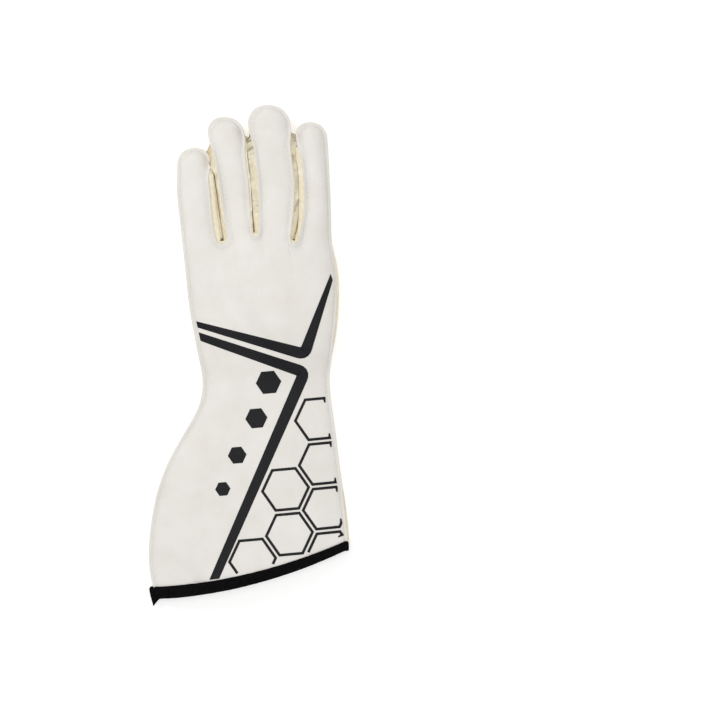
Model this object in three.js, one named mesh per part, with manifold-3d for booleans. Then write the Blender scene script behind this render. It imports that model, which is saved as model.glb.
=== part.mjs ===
// Left-hand racing glove with a flared cuff, lying on its palm with the thumb folded under.
// Millimetres, +X to the thumb side, +Y to the fingertips, +Z up through the back of the hand.
import * as THREE from 'three';
import { mergeVertices } from 'three/addons/utils/BufferGeometryUtils.js';
import Module from 'manifold-3d';

const wasm = await Module();
wasm.setup();

// Lengths and widths in plan
const palmLength = 101;
const palmWidth = 110;
const wristWidth = 94;
const cuffLength = 139.6;
const cuffWidth = 149;
const hemSkew = 35.6;
const hemBow = 6.2;
const fingerSizes = {
  little: { length: 72, width: 24.5 },
  ring: { length: 95, width: 27 },
  middle: { length: 104, width: 34 },
  index: { length: 91, width: 20.5 },
};

// Heights
const fingerThickness = 17;
const handThickness = 20;
const wristThickness = 16;
const cuffThickness = 18;

// Materials and seams
const clothWall = 1.2;
const suedeWall = 1.4;
const gussetWall = 1.0;
const thumbCloth = 1.2;
const seamGap = 0.3;
const seamAllowance = 3;
const gapAllowance = { back: 2.4, palm: 2.0, gussetTop: 2.2, gussetUnder: 1.0 };

// Thumb, folded flat under the palm
const thumbLength = 80;
const thumbWidth = 36;
const thumbThickness = 11;
const thumbMouthLength = 30;
const thumbMouthWidth = 25;

// Hem binding and printed marks
const bindingWidth = 7.6;
const bindingThickness = 0.8;
const tabLength = 4;
const tabDrop = 6.5;
const printThickness = 0.3;
const printGap = 0.5;
const cellPitch = 33.1;
const cellGap = 1.5;
const cellStroke = 2.0;
const stripeWidth = 8.6;
const stripeBend = 5;
const printMargin = 4.8;
const tickLength = 3.4;
const markRadius = 10.5;

// Rows of the hand, hem at -1, wrist at 0, knuckles at 1. Left and right are shares of the
// width that the row follows, crown and seam are shares of the thickness that it follows.
const handRows = [
  { along: -1.0, follows: 'cuff', left: -0.540, right: 0.410, crown: 1.0, seam: 0.30 },
  { along: -0.95, follows: 'cuff', left: -0.567, right: 0.411, crown: 1.0, seam: 0.30 },
  { along: -0.85, follows: 'cuff', left: -0.589, right: 0.405, crown: 0.99, seam: 0.30 },
  { along: -0.7, follows: 'cuff', left: -0.584, right: 0.390, crown: 0.97, seam: 0.30 },
  { along: -0.55, follows: 'cuff', left: -0.559, right: 0.371, crown: 0.95, seam: 0.31 },
  { along: -0.4, follows: 'cuff', left: -0.511, right: 0.356, crown: 0.93, seam: 0.33 },
  { along: -0.27, follows: 'cuff', left: -0.440, right: 0.342, crown: 0.92, seam: 0.35 },
  { along: -0.16, follows: 'wrist', left: -0.579, right: 0.522, crown: 1.02, seam: 0.42 },
  { along: -0.06, follows: 'wrist', left: -0.504, right: 0.504, crown: 1.0, seam: 0.44 },
  { along: 0.07, follows: 'wrist', left: -0.501, right: 0.492, crown: 1.04, seam: 0.44 },
  { along: 0.22, follows: 'palm', left: -0.465, right: 0.444, crown: 0.93, seam: 0.38 },
  { along: 0.42, follows: 'palm', left: -0.498, right: 0.475, crown: 1.0, seam: 0.40 },
  { along: 0.62, follows: 'palm', left: -0.528, right: 0.488, crown: 1.0, seam: 0.42 },
  { along: 0.82, follows: 'palm', left: -0.549, right: 0.481, crown: 0.96, seam: 0.42 },
  { along: 1.0, follows: 'palm', left: -0.572, right: 0.441, crown: 0.88, seam: 0.42 },
];

// Fingers from the little finger to the index finger. Root is the middle of the finger on the
// knuckle line, as a share of the palm's width; lean and tip are shares of length and width.
const fingers = [
  { name: 'little', root: -0.430, lean: -0.026, tip: 0.11, left: 'side', right: 'gap' },
  { name: 'ring', root: -0.168, lean: -0.121, tip: -0.02, left: 'gap', right: 'gap' },
  { name: 'middle', root: 0.059, lean: -0.059, tip: -0.03, left: 'gap', right: 'gap' },
  { name: 'index', root: 0.309, lean: -0.036, tip: -0.05, left: 'gap', right: 'side' },
];

// Sections up each finger: along is a share of the finger, shift and width of its width
const fingerSections = {
  little: [
    { along: 0.0, shift: 0.0, width: 1.0 },
    { along: 0.3, shift: -0.09, width: 0.94 },
    { along: 0.6, shift: -0.13, width: 0.98 },
    { along: 1.0, shift: -0.19, width: 0.78 },
  ],
  ring: [
    { along: 0.0, shift: 0.02, width: 0.76 },
    { along: 0.2, shift: 0.0, width: 0.84 },
    { along: 0.45, shift: 0.02, width: 0.93 },
    { along: 0.8, shift: -0.01, width: 0.97 },
    { along: 1.0, shift: -0.04, width: 0.80 },
  ],
  middle: [
    { along: 0.0, shift: 0.01, width: 0.76 },
    { along: 0.2, shift: 0.07, width: 0.88 },
    { along: 0.45, shift: 0.12, width: 0.96 },
    { along: 0.75, shift: 0.07, width: 0.96 },
    { along: 1.0, shift: 0.03, width: 0.77 },
  ],
  index: [
    { along: 0.0, shift: 0.0, width: 1.08 },
    { along: 0.25, shift: 0.16, width: 0.86 },
    { along: 0.65, shift: 0.16, width: 0.83 },
    { along: 0.85, shift: 0.12, width: 0.88 },
    { along: 1.0, shift: 0.10, width: 0.88 },
  ],
};

// Crotches between the fingers: rise of the seam above the knuckle line, share of palm length
const crotches = [
  { name: 'gusset_little_ring', rise: 0.0 },
  { name: 'gusset_ring_middle', rise: 0.07 },
  { name: 'gusset_middle_index', rise: 0.0 },
];
const crotchDepth = 6;

// Folds and dents on the back: ends in hand shares, width and depth in shares of thickness
const folds = [
  { fromAcross: 0.22, fromAlong: 0.70, toAcross: 0.50, toAlong: 0.38, width: 0.22, depth: 0.07 },
  { fromAcross: 0.04, fromAlong: -0.82, toAcross: 0.24, toAlong: -0.99, width: 0.30, depth: 0.10 },
  { fromAcross: 0.80, fromAlong: 0.20, toAcross: 0.97, toAlong: 0.12, width: 0.20, depth: 0.08 },
  { fromAcross: 0.05, fromAlong: 0.04, toAcross: 0.40, toAlong: 0.0, width: 0.25, depth: 0.05 },
];

// Small helpers
const lerp = (a, b, t) => a + (b - a) * t;
const clamp01 = (x) => Math.min(1, Math.max(0, x));
const smooth = (from, to, x) => {
  const t = clamp01((x - from) / (to - from));
  return t * t * (3 - 2 * t);
};
const vec = (x, y, z) => new THREE.Vector3(x, y, z);
const range = (count) => Array.from({ length: count }, (_, i) => i);

// Smooth value of a table's column at a place, through its rows
function readTable(rows, column, at, key = 'along') {
  let i = 0;
  while (i < rows.length - 2 && at > rows[i + 1][key]) i += 1;
  const value = (k) => rows[Math.min(rows.length - 1, Math.max(0, k))];
  const [p, q] = [rows[i], rows[i + 1]];
  const slope = (k) => {
    const [before, after] = [value(k - 1), value(k + 1)];
    return (after[column] - before[column]) / (after[key] - before[key]);
  };
  const span = q[key] - p[key];
  const t = clamp01((at - p[key]) / span);
  const [a, b] = [slope(i) * span, slope(i + 1) * span];
  const rest = 3 * (q[column] - p[column]) - 2 * a - b;
  return p[column] + t * (a + t * (rest + t * (2 * (p[column] - q[column]) + a + b)));
}

// A surface of welded quads, which thicken turns into a closed wall
class Sheet {
  constructor() {
    this.points = [];
    this.faces = [];
    this.index = new Map();
  }

  key(p) {
    return [p.x, p.y, p.z].map((c) => Math.round(c * 1e4)).join();
  }

  add(p) {
    const key = this.key(p);
    if (!this.index.has(key)) {
      this.index.set(key, this.points.length);
      this.points.push(p.clone());
    }
    return this.index.get(key);
  }

  reshape(change) {
    this.points = this.points.map(change);
    return this;
  }

  // Rows run up the piece and their points run to the right, seen from outside
  grid(rows, flip = false) {
    const ids = rows.map((row) => row.map((p) => this.add(p)));
    for (const i of range(rows.length - 1)) {
      for (const j of range(rows[i].length - 1)) {
        const quad = [ids[i][j], ids[i][j + 1], ids[i + 1][j + 1], ids[i + 1][j]];
        const corners = quad.filter((id, k) => id !== quad[(k + 1) % 4]);
        if (corners.length < 3) continue;
        if (flip) corners.reverse();
        this.faces.push([corners[0], corners[1], corners[2]]);
        if (corners.length === 4) this.faces.push([corners[0], corners[2], corners[3]]);
      }
    }
    return this;
  }
}

// Outward direction at each point of a sheet, long enough to mitre its folds
function mitres({ points, faces }) {
  const around = points.map(() => []);
  for (const face of faces) {
    const [a, b, c] = face.map((id) => points[id]);
    const normal = b.clone().sub(a).cross(c.clone().sub(a)).normalize();
    face.forEach((id, k) => {
      const u = points[face[(k + 1) % 3]].clone().sub(points[id]);
      const w = points[face[(k + 2) % 3]].clone().sub(points[id]);
      around[id].push({ normal, angle: u.angleTo(w) });
    });
  }
  return around.map((list) => {
    const mean = vec(0, 0, 0);
    list.forEach(({ normal, angle }) => mean.addScaledVector(normal, angle));
    mean.normalize();
    const total = list.reduce((sum, { angle }) => sum + angle, 0);
    const facing = list.reduce((sum, { normal, angle }) => sum + angle * normal.dot(mean), 0) / total;
    return mean.divideScalar(Math.max(facing, 0.6));
  });
}

// Gives a sheet a wall of some thickness on its inner side and closes its edges
function thicken(sheet, wall) {
  const { points, faces } = sheet;
  const outward = mitres(sheet);
  const inner = points.map((p, id) => p.clone().addScaledVector(outward[id], -wall));
  const count = points.length;
  const edges = new Map();
  for (const face of faces) {
    face.forEach((a, k) => edges.set(`${a},${face[(k + 1) % 3]}`, [a, face[(k + 1) % 3]]));
  }
  const triangles = [...faces, ...faces.map(([a, b, c]) => [c + count, b + count, a + count])];
  for (const [a, b] of edges.values()) {
    if (edges.has(`${b},${a}`)) continue;
    triangles.push([b, a, a + count], [b, a + count, b + count]);
  }
  return geometryOf([...points, ...inner], triangles);
}

function geometryOf(points, triangles) {
  const geometry = new THREE.BufferGeometry();
  const numbers = points.flatMap((p) => [p.x, p.y, p.z]);
  geometry.setAttribute('position', new THREE.Float32BufferAttribute(numbers, 3));
  geometry.setIndex(triangles.flat());
  return geometry;
}

// Closed tube through sections that have the same number of points
function loft(sections, closed = false) {
  const size = sections[0].length;
  const at = (i, j) => (i % sections.length) * size + (j % size);
  const triangles = [];
  for (const i of range(closed ? sections.length : sections.length - 1)) {
    for (const j of range(size)) {
      triangles.push([at(i, j), at(i, j + 1), at(i + 1, j + 1)]);
      triangles.push([at(i, j), at(i + 1, j + 1), at(i + 1, j)]);
    }
  }
  if (!closed) {
    const last = sections.length - 1;
    for (const j of range(size - 2)) {
      triangles.push([at(0, 0), at(0, j + 2), at(0, j + 1)]);
      triangles.push([at(last, 0), at(last, j + 1), at(last, j + 2)]);
    }
  }
  return geometryOf(sections.flat(), triangles);
}

function asManifold(geometry) {
  const bare = geometry.clone();
  bare.deleteAttribute('normal');
  bare.deleteAttribute('uv');
  const merged = mergeVertices(bare, 1e-4);
  return new wasm.Manifold(new wasm.Mesh({
    numProp: 3,
    vertProperties: Float32Array.from(merged.attributes.position.array),
    triVerts: Uint32Array.from(merged.index.array),
  }));
}

function fromManifold(solid) {
  const { vertProperties, triVerts, numProp } = solid.getMesh();
  const points = range(vertProperties.length / numProp)
    .map((i) => vec(...vertProperties.slice(i * numProp, i * numProp + 3)));
  return geometryOf(points, range(triVerts.length / 3).map((i) => [...triVerts.slice(i * 3, i * 3 + 3)]));
}

// Plan of the hand: across runs 0 to 1 between the outer edges, along -1 to 1
const followed = {
  cuff: { width: cuffWidth, thickness: cuffThickness },
  wrist: { width: wristWidth, thickness: wristThickness },
  palm: { width: palmWidth, thickness: handThickness },
};
const rowSizes = handRows.map(({ along, follows, left, right, crown, seam }) => {
  const { width, thickness } = followed[follows];
  const heights = { crown: crown * thickness, seam: seam * thickness };
  return { along, left: left * width, right: right * width, ...heights };
});

function handPlan(across, along) {
  const edge = (column) => readTable(rowSizes, column, along);
  const below = lerp(cuffLength + hemSkew / 2, cuffLength - hemSkew / 2, across);
  const bow = hemBow * 4 * across * (1 - across) * smooth(0, -1, along);
  const y = along < 0 ? along * below - bow : along * palmLength;
  return { x: lerp(edge('left'), edge('right'), across), y };
}

// Section of a finger: a rounded oval, angle 0 to the right and a quarter turn up
const roundness = 2.4;
function ovalPoint(halfWidth, angle) {
  const [c, s] = [Math.cos(angle), Math.sin(angle)];
  const power = 2 / roundness;
  const half = fingerThickness / 2;
  return {
    side: halfWidth * Math.sign(c) * Math.abs(c) ** power,
    z: half + half * Math.sign(s) * Math.abs(s) ** power,
  };
}

// Angles of the seams on the section, and how two walls part along it
const backSeamAngle = THREE.MathUtils.degToRad(50);
const palmSeamAngle = THREE.MathUtils.degToRad(-35);
const lipRise = THREE.MathUtils.degToRad(52);
const lipFall = THREE.MathUtils.degToRad(-40);
const sideParting = clothWall + 2 * seamGap + suedeWall;
const outerSeamHeight = sideParting / 2;

function angleAtHeight(above) {
  const half = fingerThickness / 2;
  return Math.asin(Math.sign(above) * (Math.abs(above) / half) ** (roundness / 2));
}

// Angle on the section that lies a length further along it than another angle
function angleAlong(halfWidth, angle, length) {
  const step = 0.002 * Math.sign(length);
  let [here, travelled, at] = [ovalPoint(halfWidth, angle), 0, angle];
  while (travelled < Math.abs(length)) {
    at += step;
    const next = ovalPoint(halfWidth, at);
    travelled += Math.hypot(next.side - here.side, next.z - here.z);
    here = next;
  }
  return at;
}

const crotchLine = crotches.map(({ rise }) => palmLength * (1 + rise));
const fingerFrames = fingers.map((finger, i) => {
  const { length, width } = fingerSizes[finger.name];
  const sections = fingerSections[finger.name];
  const capLength = 0.45 * width * readTable(sections, 'width', 1);
  const roots = [i - 1, i].map((gap) => crotchLine[gap]);
  const [leftRoot, rightRoot] = [roots[0] ?? roots[1], roots[1] ?? roots[0]].map((y) => y + crotchDepth);
  const shaftEnd = palmLength + length - capLength;
  const centre = (f, y) => palmWidth * finger.root + finger.lean * (y - palmLength)
    + readTable(sections, 'shift', f) * width;
  const half = (f) => readTable(sections, 'width', f) * width / 2;
  return { ...finger, width, capLength, leftRoot, rightRoot, shaftEnd, centre, half };
});

const outerBackAngle = angleAtHeight(outerSeamHeight);
const outerPalmAngle = angleAtHeight(-outerSeamHeight);

// Angles of the two seams and rise of their lips, at a place up one side of a finger
function seamOnSide(kind, f) {
  const closing = kind === 'side' ? 1 : smooth(0.8, 1, f);
  return {
    back: lerp(backSeamAngle, outerBackAngle, closing),
    palm: lerp(palmSeamAngle, outerPalmAngle, closing),
    backLip: lerp(lipRise, 0, closing),
    palmLip: lerp(lipFall, 0, closing),
  };
}

// One row across a finger on the back or the palm, with its two lip directions
function fingerRow(frame, f, surface, columns) {
  const left = seamOnSide(frame.left, f);
  const right = seamOnSide(frame.right, f);
  const from = Math.PI - left[surface];
  const to = surface === 'back' ? right.back : 2 * Math.PI + right.palm;
  const half = frame.half(f);
  const points = range(columns + 1).map((k) => {
    const { side, z } = ovalPoint(half, lerp(from, to, k / columns));
    const root = lerp(frame.leftRoot, frame.rightRoot, clamp01((side / half + 1) / 2));
    const y = lerp(root, frame.shaftEnd, f);
    return vec(frame.centre(f, y) + side, y, z);
  });
  const lip = (rise, way) => vec(way * Math.cos(rise), 0, Math.sin(rise));
  return { points, leftLip: lip(left[`${surface}Lip`], -1), rightLip: lip(right[`${surface}Lip`], 1) };
}

// The rounded end of a finger: rows of points and, round its edge, the lip directions
function fingerCap(frame, surface, columns, rows) {
  const last = fingerRow(frame, 1, surface, columns).points;
  const half = frame.half(1);
  const middle = frame.centre(1, frame.shaftEnd);
  const edge = Math.abs(last[0].x - middle) / half;
  const sign = surface === 'back' ? 1 : -1;
  const grid = range(rows + 1).map((r) => last.map((p) => {
    const [u, q] = [(p.x - middle) / half / edge, r / rows];
    const [x, y] = [edge * u * Math.sqrt(1 - q * q / 2), edge * q * Math.sqrt(1 - u * u / 2)];
    const reach = Math.min(1, Math.hypot(x, y));
    const height = fingerThickness / 2 * (1 - reach ** roundness) ** (1 / roundness);
    const point = vec(
      middle + half * x + (frame.lean + frame.tip) * y * frame.capLength,
      frame.shaftEnd + frame.capLength * y,
      fingerThickness / 2 + sign * height,
    );
    return { point, out: vec(x / half, y / frame.capLength, 0).normalize() };
  }));
  return grid;
}

// Stations round a crotch, from the finger on its left to the one on its right
function crotchStations(gap, count) {
  const [left, right] = [fingerFrames[gap], fingerFrames[gap + 1]];
  const a = fingerRow(left, 0, 'back', 2).points[2];
  const b = fingerRow(right, 0, 'back', 2).points[0];
  const reach = (b.x - a.x) / 2;
  const bulge = 1 - Math.cos(backSeamAngle) ** (2 / roundness);
  const half = Math.min((left.half(0) + right.half(0)) / 2, 0.55 * reach / bulge);
  return range(count - 1).map((k) => {
    const turn = Math.PI * (k + 1) / count;
    return {
      x: (a.x + b.x) / 2 - reach * Math.cos(turn),
      y: lerp(a.y, b.y, (k + 1) / count) - crotchDepth * Math.sin(turn),
      way: vec(Math.cos(turn) / reach, Math.sin(turn) / crotchDepth, 0).normalize(),
      half,
    };
  });
}

// Point on the wall round a gap, at an angle of the section, out from the back seam's line
function wallPoint({ x, y, way, half }, seamAngle, angle) {
  const out = ovalPoint(half, angle).side - ovalPoint(half, seamAngle).side;
  return vec(x + way.x * out, y + way.y * out, ovalPoint(half, angle).z);
}

// The knuckle line of a panel: root rows of the fingers and the crotches between them
function knuckleRow(surface, columns, turns) {
  const row = [];
  fingerFrames.forEach((frame, i) => {
    row.push(...fingerRow(frame, 0, surface, columns).points);
    if (i === fingers.length - 1) return;
    const angle = surface === 'back' ? backSeamAngle : palmSeamAngle;
    row.push(...crotchStations(i, turns).map((station) => wallPoint(station, backSeamAngle, angle)));
  });
  return row;
}

// Height of the floor of the cuff, which stands on its binding at the hem
const hemStand = (along) => (bindingThickness + seamGap) * smooth(-0.85, -1, along);

function handHeight(surface, u, along) {
  const seam = readTable(rowSizes, 'seam', along);
  const crown = readTable(rowSizes, 'crown', along);
  if (surface === 'palm') {
    return hemStand(along) + (seam - outerSeamHeight) * clamp01((Math.abs(u) - 0.5) / 0.5) ** 2;
  }
  const low = seam + outerSeamHeight;
  return hemStand(along) + low + (crown - low) * clamp01(1 - Math.abs(u) ** 2.6) ** 0.75;
}

const bindingTop = -1 + bindingWidth / cuffLength;
const rowStops = handRows.map(({ along }, i) => (i === 1 ? bindingTop : along));

// Rows of the hand from the hem to the knuckles, between the two outer seams
function handGrid(surface, columns, turns) {
  const knuckles = knuckleRow(surface, columns, turns);
  const [first, last] = [knuckles[0].x, knuckles[knuckles.length - 1].x];
  return rowStops.map((along) => {
    if (along === 1) return knuckles;
    const near = smooth(0.6, 1, along);
    const edges = [handPlan(0, along).x + seamAllowance, handPlan(1, along).x - seamAllowance];
    return knuckles.map((knuckle) => {
      const share = (knuckle.x - first) / (last - first);
      const { y } = handPlan(share, along);
      const z = handHeight(surface, 2 * share - 1, along);
      return vec(lerp(...edges, share), y + (knuckle.y - palmLength) * near, lerp(z, knuckle.z, near));
    });
  });
}

// Places up a finger where its rows lie, from the root to the start of its round end
const fingerStops = [0, 0.14, 0.3, 0.48, 0.66, 0.82, 0.92, 1];
const capRows = 3;
const crotchTurns = 4;

// The whole back or palm as one sheet, with its edge from the hem round the fingers and back
function panelSheet(surface, columns) {
  const flip = surface === 'palm';
  const sheet = new Sheet();
  const hand = handGrid(surface, columns, crotchTurns);
  sheet.grid(hand, flip);
  const edge = hand.slice(0, -1).map((row) => ({ point: row[0], out: vec(-1, 0, 0) }));
  fingerFrames.forEach((frame, i) => {
    const rows = fingerStops.map((f) => fingerRow(frame, f, surface, columns));
    sheet.grid(rows.map(({ points }) => points), flip);
    const cap = fingerCap(frame, surface, columns, capRows);
    sheet.grid(cap.map((row) => row.map(({ point }) => point)), flip);
    rows.forEach(({ points, leftLip }) => edge.push({ point: points[0], out: leftLip }));
    range(capRows).forEach((r) => edge.push(cap[r + 1][0]));
    cap[capRows].slice(1, -1).forEach((item) => edge.push(item));
    range(capRows).forEach((r) => edge.push(cap[capRows - r][columns]));
    [...rows].reverse().forEach(({ points, rightLip }) => {
      edge.push({ point: points[columns], out: rightLip });
    });
    if (i === fingers.length - 1) return;
    const [angle, rise] = surface === 'back' ? [backSeamAngle, lipRise] : [palmSeamAngle, lipFall];
    crotchStations(i, crotchTurns).forEach((station) => {
      const out = station.way.clone().multiplyScalar(Math.cos(rise)).setZ(Math.sin(rise));
      edge.push({ point: wallPoint(station, backSeamAngle, angle), out });
    });
  });
  [...hand].reverse().slice(1).forEach((row) => {
    edge.push({ point: row[row.length - 1], out: vec(1, 0, 0) });
  });
  const steepest = Math.sin(Math.abs(surface === 'back' ? lipRise : lipFall));
  const reach = ({ out }) => lerp(seamAllowance, gapAllowance[surface], Math.abs(out.z) / steepest);
  const lips = edge.map((item) => item.point.clone().addScaledVector(item.out, reach(item)));
  sheet.grid([edge.map(({ point }) => point), lips], flip);
  const rowOf = (r) => [lips[r], ...hand[r], lips[lips.length - 1 - r]];
  return { sheet, hemRows: [0, 1].map((r) => rowOf(r).map((p) => sheet.add(p))) };
}

// Fourchette between two fingers: a strip from one fingertip round the crotch to the next
function gussetSheet(gap) {
  const partTop = clothWall + seamGap + gussetWall;
  const partUnder = suedeWall + seamGap + gussetWall;
  const side = (frame, way, kind) => fingerStops.slice(0, -1).map((f) => {
    const { points } = fingerRow(frame, f, 'back', 2);
    const anchor = way > 0 ? points[2] : points[0];
    const seams = seamOnSide(kind, f);
    return { x: anchor.x, y: anchor.y, way: vec(way, 0, 0), half: frame.half(f), seams };
  });
  const crotch = { back: backSeamAngle, palm: palmSeamAngle, backLip: lipRise, palmLip: lipFall };
  const stations = [
    ...side(fingerFrames[gap], 1, 'gap').reverse(),
    ...crotchStations(gap, crotchTurns).map((station) => ({ ...station, seams: crotch })),
    ...side(fingerFrames[gap + 1], -1, 'gap'),
  ];
  const rows = stations.map((station) => {
    const { seams, half, way } = station;
    const top = angleAlong(half, seams.back, -partTop);
    const under = angleAlong(half, seams.palm, partUnder);
    const wall = [top, lerp(top, under, 0.35), lerp(top, under, 0.7), under]
      .map((angle) => wallPoint(station, seams.back, angle));
    const lip = (from, rise, reach) => from.clone()
      .add(way.clone().multiplyScalar(Math.cos(rise)).setZ(Math.sin(rise)).multiplyScalar(reach));
    return [
      lip(wall[0], seams.backLip, gapAllowance.gussetTop),
      ...wall,
      lip(wall[3], seams.palmLip, gapAllowance.gussetUnder),
    ];
  });
  return new Sheet().grid(rows);
}

// The thumb lies on an axis from its round base to its tip
const thumbBase = { x: 0.282 * palmWidth, y: 0.475 * palmLength };
const thumbTurn = THREE.MathUtils.degToRad(31.6);
const thumbRadii = { base: thumbWidth / 2, tip: thumbWidth * 0.37 };
const thumbShaft = thumbLength - thumbRadii.base - thumbRadii.tip;
const alongThumb = (side, along) => ({
  x: thumbBase.x + side * Math.cos(thumbTurn) - along * Math.sin(thumbTurn),
  y: thumbBase.y + side * Math.sin(thumbTurn) + along * Math.cos(thumbTurn),
});

function thumbWall(surface) {
  const [columns, capSteps] = [6, 3];
  const sign = surface === 'upper' ? 1 : -1;
  const parting = (2 * thumbCloth + seamGap) / 2;
  const half = thumbThickness / 2;
  const us = range(columns + 1).map((k) => -1 + 2 * k / columns);
  const place = (x, y, radius, along) => {
    const reach = Math.min(1, Math.hypot(x, y));
    const z = half + sign * lerp(parting, half, (1 - reach ** 3) ** (1 / 3));
    const plan = alongThumb(x * radius, along);
    return vec(plan.x, plan.y, z);
  };
  const disc = (u, q) => [u * Math.sqrt(1 - q * q / 2), q * Math.sqrt(1 - u * u / 2)];
  const rows = [];
  for (const q of [-1, -0.7, -0.35]) {
    rows.push(us.map((u) => {
      const [x, y] = disc(u, q);
      return place(x, y, thumbRadii.base, y * thumbRadii.base);
    }));
  }
  for (const t of [0, 0.33, 0.67, 1]) {
    rows.push(us.map((u) => place(u, 0, lerp(thumbRadii.base, thumbRadii.tip, t), t * thumbShaft)));
  }
  for (const q of [0.35, 0.7, 1]) {
    rows.push(us.map((u) => {
      const [x, y] = disc(u, q);
      return place(x, y, thumbRadii.tip, thumbShaft + y * thumbRadii.tip);
    }));
  }
  const last = rows.length - 1;
  const ring = [
    ...rows.map((row) => row[0]),
    ...rows[last].slice(1, columns),
    ...rows.map((row) => row[columns]).reverse(),
    ...rows[0].slice(1, columns).reverse(),
  ];
  const axis = [alongThumb(0, 0), alongThumb(0, thumbShaft)];
  const lips = ring.map((p) => {
    const near = nearestOnSegment(p, axis);
    const out = vec(p.x - near.x, p.y - near.y, 0).normalize();
    return p.clone().addScaledVector(out, seamAllowance);
  });
  const flip = surface === 'under';
  const sheet = new Sheet().grid(rows, flip);
  return sheet.grid([[...ring, ring[0]], [...lips, lips[0]]], flip);
}

function nearestOnSegment(p, [a, b]) {
  const [dx, dy] = [b.x - a.x, b.y - a.y];
  const t = clamp01(((p.x - a.x) * dx + (p.y - a.y) * dy) / (dx * dx + dy * dy));
  return { x: a.x + t * dx, y: a.y + t * dy };
}

// The glove drapes over its folded thumb
const drapeSpread = 28;
function lifted(p) {
  const near = nearestOnSegment(p, [alongThumb(0, 0), alongThumb(0, thumbShaft)]);
  const far = Math.hypot(p.x - near.x, p.y - near.y);
  const flat = thumbRadii.base + 2;
  const lift = (thumbThickness + seamGap) * (1 - smooth(flat, flat + drapeSpread, far));
  return p.clone().setZ(p.z + lift * (1 - 0.15 * clamp01(p.z / handThickness)));
}

// Folds press into the back, deepest on their line
const foldLines = folds.map((fold) => {
  const at = (across, along) => handPlan(across, along);
  return {
    line: [at(fold.fromAcross, fold.fromAlong), at(fold.toAcross, fold.toAlong)],
    width: fold.width * handThickness * 2,
    depth: fold.depth * handThickness,
  };
});
function folded(p) {
  const press = foldLines.reduce((sum, { line, width, depth }) => {
    const near = nearestOnSegment(p, line);
    return sum + depth * Math.exp(-(((p.x - near.x) ** 2 + (p.y - near.y) ** 2) / (width / 2) ** 2));
  }, 0);
  return p.clone().setZ(p.z - press * smooth(handThickness * 0.3, handThickness * 0.6, p.z));
}

// Moves every point of a geometry by a change of shape
function reshape(geometry, change) {
  const { position } = geometry.attributes;
  for (const i of range(position.count)) {
    const p = change(vec(position.getX(i), position.getY(i), position.getZ(i)));
    position.setXYZ(i, p.x, p.y, p.z);
  }
  return geometry;
}

// Black tape folded over a panel's hem, from one outer seam allowance to the other
function bindingGeometry(sheet, ids, wall, tab) {
  const outward = mitres(sheet);
  const cover = seamGap + bindingThickness;
  const sections = ids[0].map((hemId, k) => {
    const hem = sheet.points[hemId];
    const inner = sheet.points[ids[1][k]];
    const [n, m] = [outward[hemId], outward[ids[1][k]]];
    const down = hem.clone().sub(inner).setZ(0).normalize();
    const at = (p, normal, off, beyond) => (
      p.clone().addScaledVector(normal, off).addScaledVector(down, beyond));
    return [
      at(hem, n, seamGap, seamGap),
      at(inner, m, seamGap, 0),
      at(inner, m, cover, 0),
      at(hem, n, cover, cover),
      at(hem, n, -wall, cover),
      at(hem, n, -wall, seamGap),
    ];
  });
  if (!tab) return loft(sections);
  const drop = [1, 0, 0, 1, 1, 1].map((share) => share * tab.drop);
  const longer = sections[0].map((p, k) => vec(p.x - tab.length, p.y - drop[k], p.z));
  return loft([longer, ...sections].reverse());
}

// Height of a sheet's face over a place in plan: its highest face that looks up with side 1,
// or its lowest face that looks down with side -1
function heightOf(sheet, side) {
  const faces = sheet.faces.map((face) => face.map((id) => sheet.points[id]));
  return (x, y) => {
    let top = -side * Infinity;
    for (const [a, b, c] of faces) {
      const area = (b.x - a.x) * (c.y - a.y) - (c.x - a.x) * (b.y - a.y);
      if (area * side < 1e-6) continue;
      const s = ((b.x - x) * (c.y - y) - (c.x - x) * (b.y - y)) / area;
      const t = ((c.x - x) * (a.y - y) - (a.x - x) * (c.y - y)) / area;
      if (s < -1e-6 || t < -1e-6 || s + t > 1 + 1e-6) continue;
      const z = s * a.z + t * b.z + (1 - s - t) * c.z;
      top = side > 0 ? Math.max(top, z) : Math.min(top, z);
    }
    return top;
  };
}

// Flat band of film along a path of plan points, each with its own width, laid over the cloth
// at a few places across it, from -1 to 1
function filmBand(path, closed, over, places) {
  const count = path.length;
  const near = (i) => (closed ? path[(i + count) % count] : path[Math.min(count - 1, Math.max(0, i))]);
  const sections = path.map((here, i) => {
    const before = vec(here.x - near(i - 1).x, here.y - near(i - 1).y, 0);
    const after = vec(near(i + 1).x - here.x, near(i + 1).y - here.y, 0);
    const [p, q] = [before.lengthSq() ? before : after, after.lengthSq() ? after : before]
      .map((v) => v.clone().normalize());
    const along = p.clone().add(q).normalize();
    const reach = here.width / 2 / Math.max(0.5, along.dot(p));
    const under = places.map((side) => {
      const back = side * (here.slant ?? 0) * here.width / 2;
      const x = here.x - along.y * reach * side - along.x * back;
      const y = here.y + along.x * reach * side - along.y * back;
      return vec(x, y, over(x, y) + printGap);
    });
    return [...under, ...under.map((p) => p.clone().setZ(p.z + printThickness)).reverse()];
  });
  return loft(sections, closed);
}

// Bent stripes: start, corner and end in hand shares, each with its share of the stripe's width.
// Slant moves an end's left edge back and its right edge on, as a share of the width there.
const stripes = {
  stripe_upper: [
    { across: 0.035, along: 0.444, width: 0.49, slant: 0.55 },
    { across: 0.795, along: 0.225, width: 1.0, slant: 0 },
    { across: 0.957, along: 0.79, width: 0.35, slant: -1.3 },
  ],
  stripe_lower: [
    { across: 0.04, along: 0.355, width: 0.65, slant: 0.6 },
    { across: 0.806, along: 0.094, width: 1.0, slant: 0 },
    { across: 0.319, along: -0.943, width: 0.74, slant: 0.6 },
  ],
};
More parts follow.
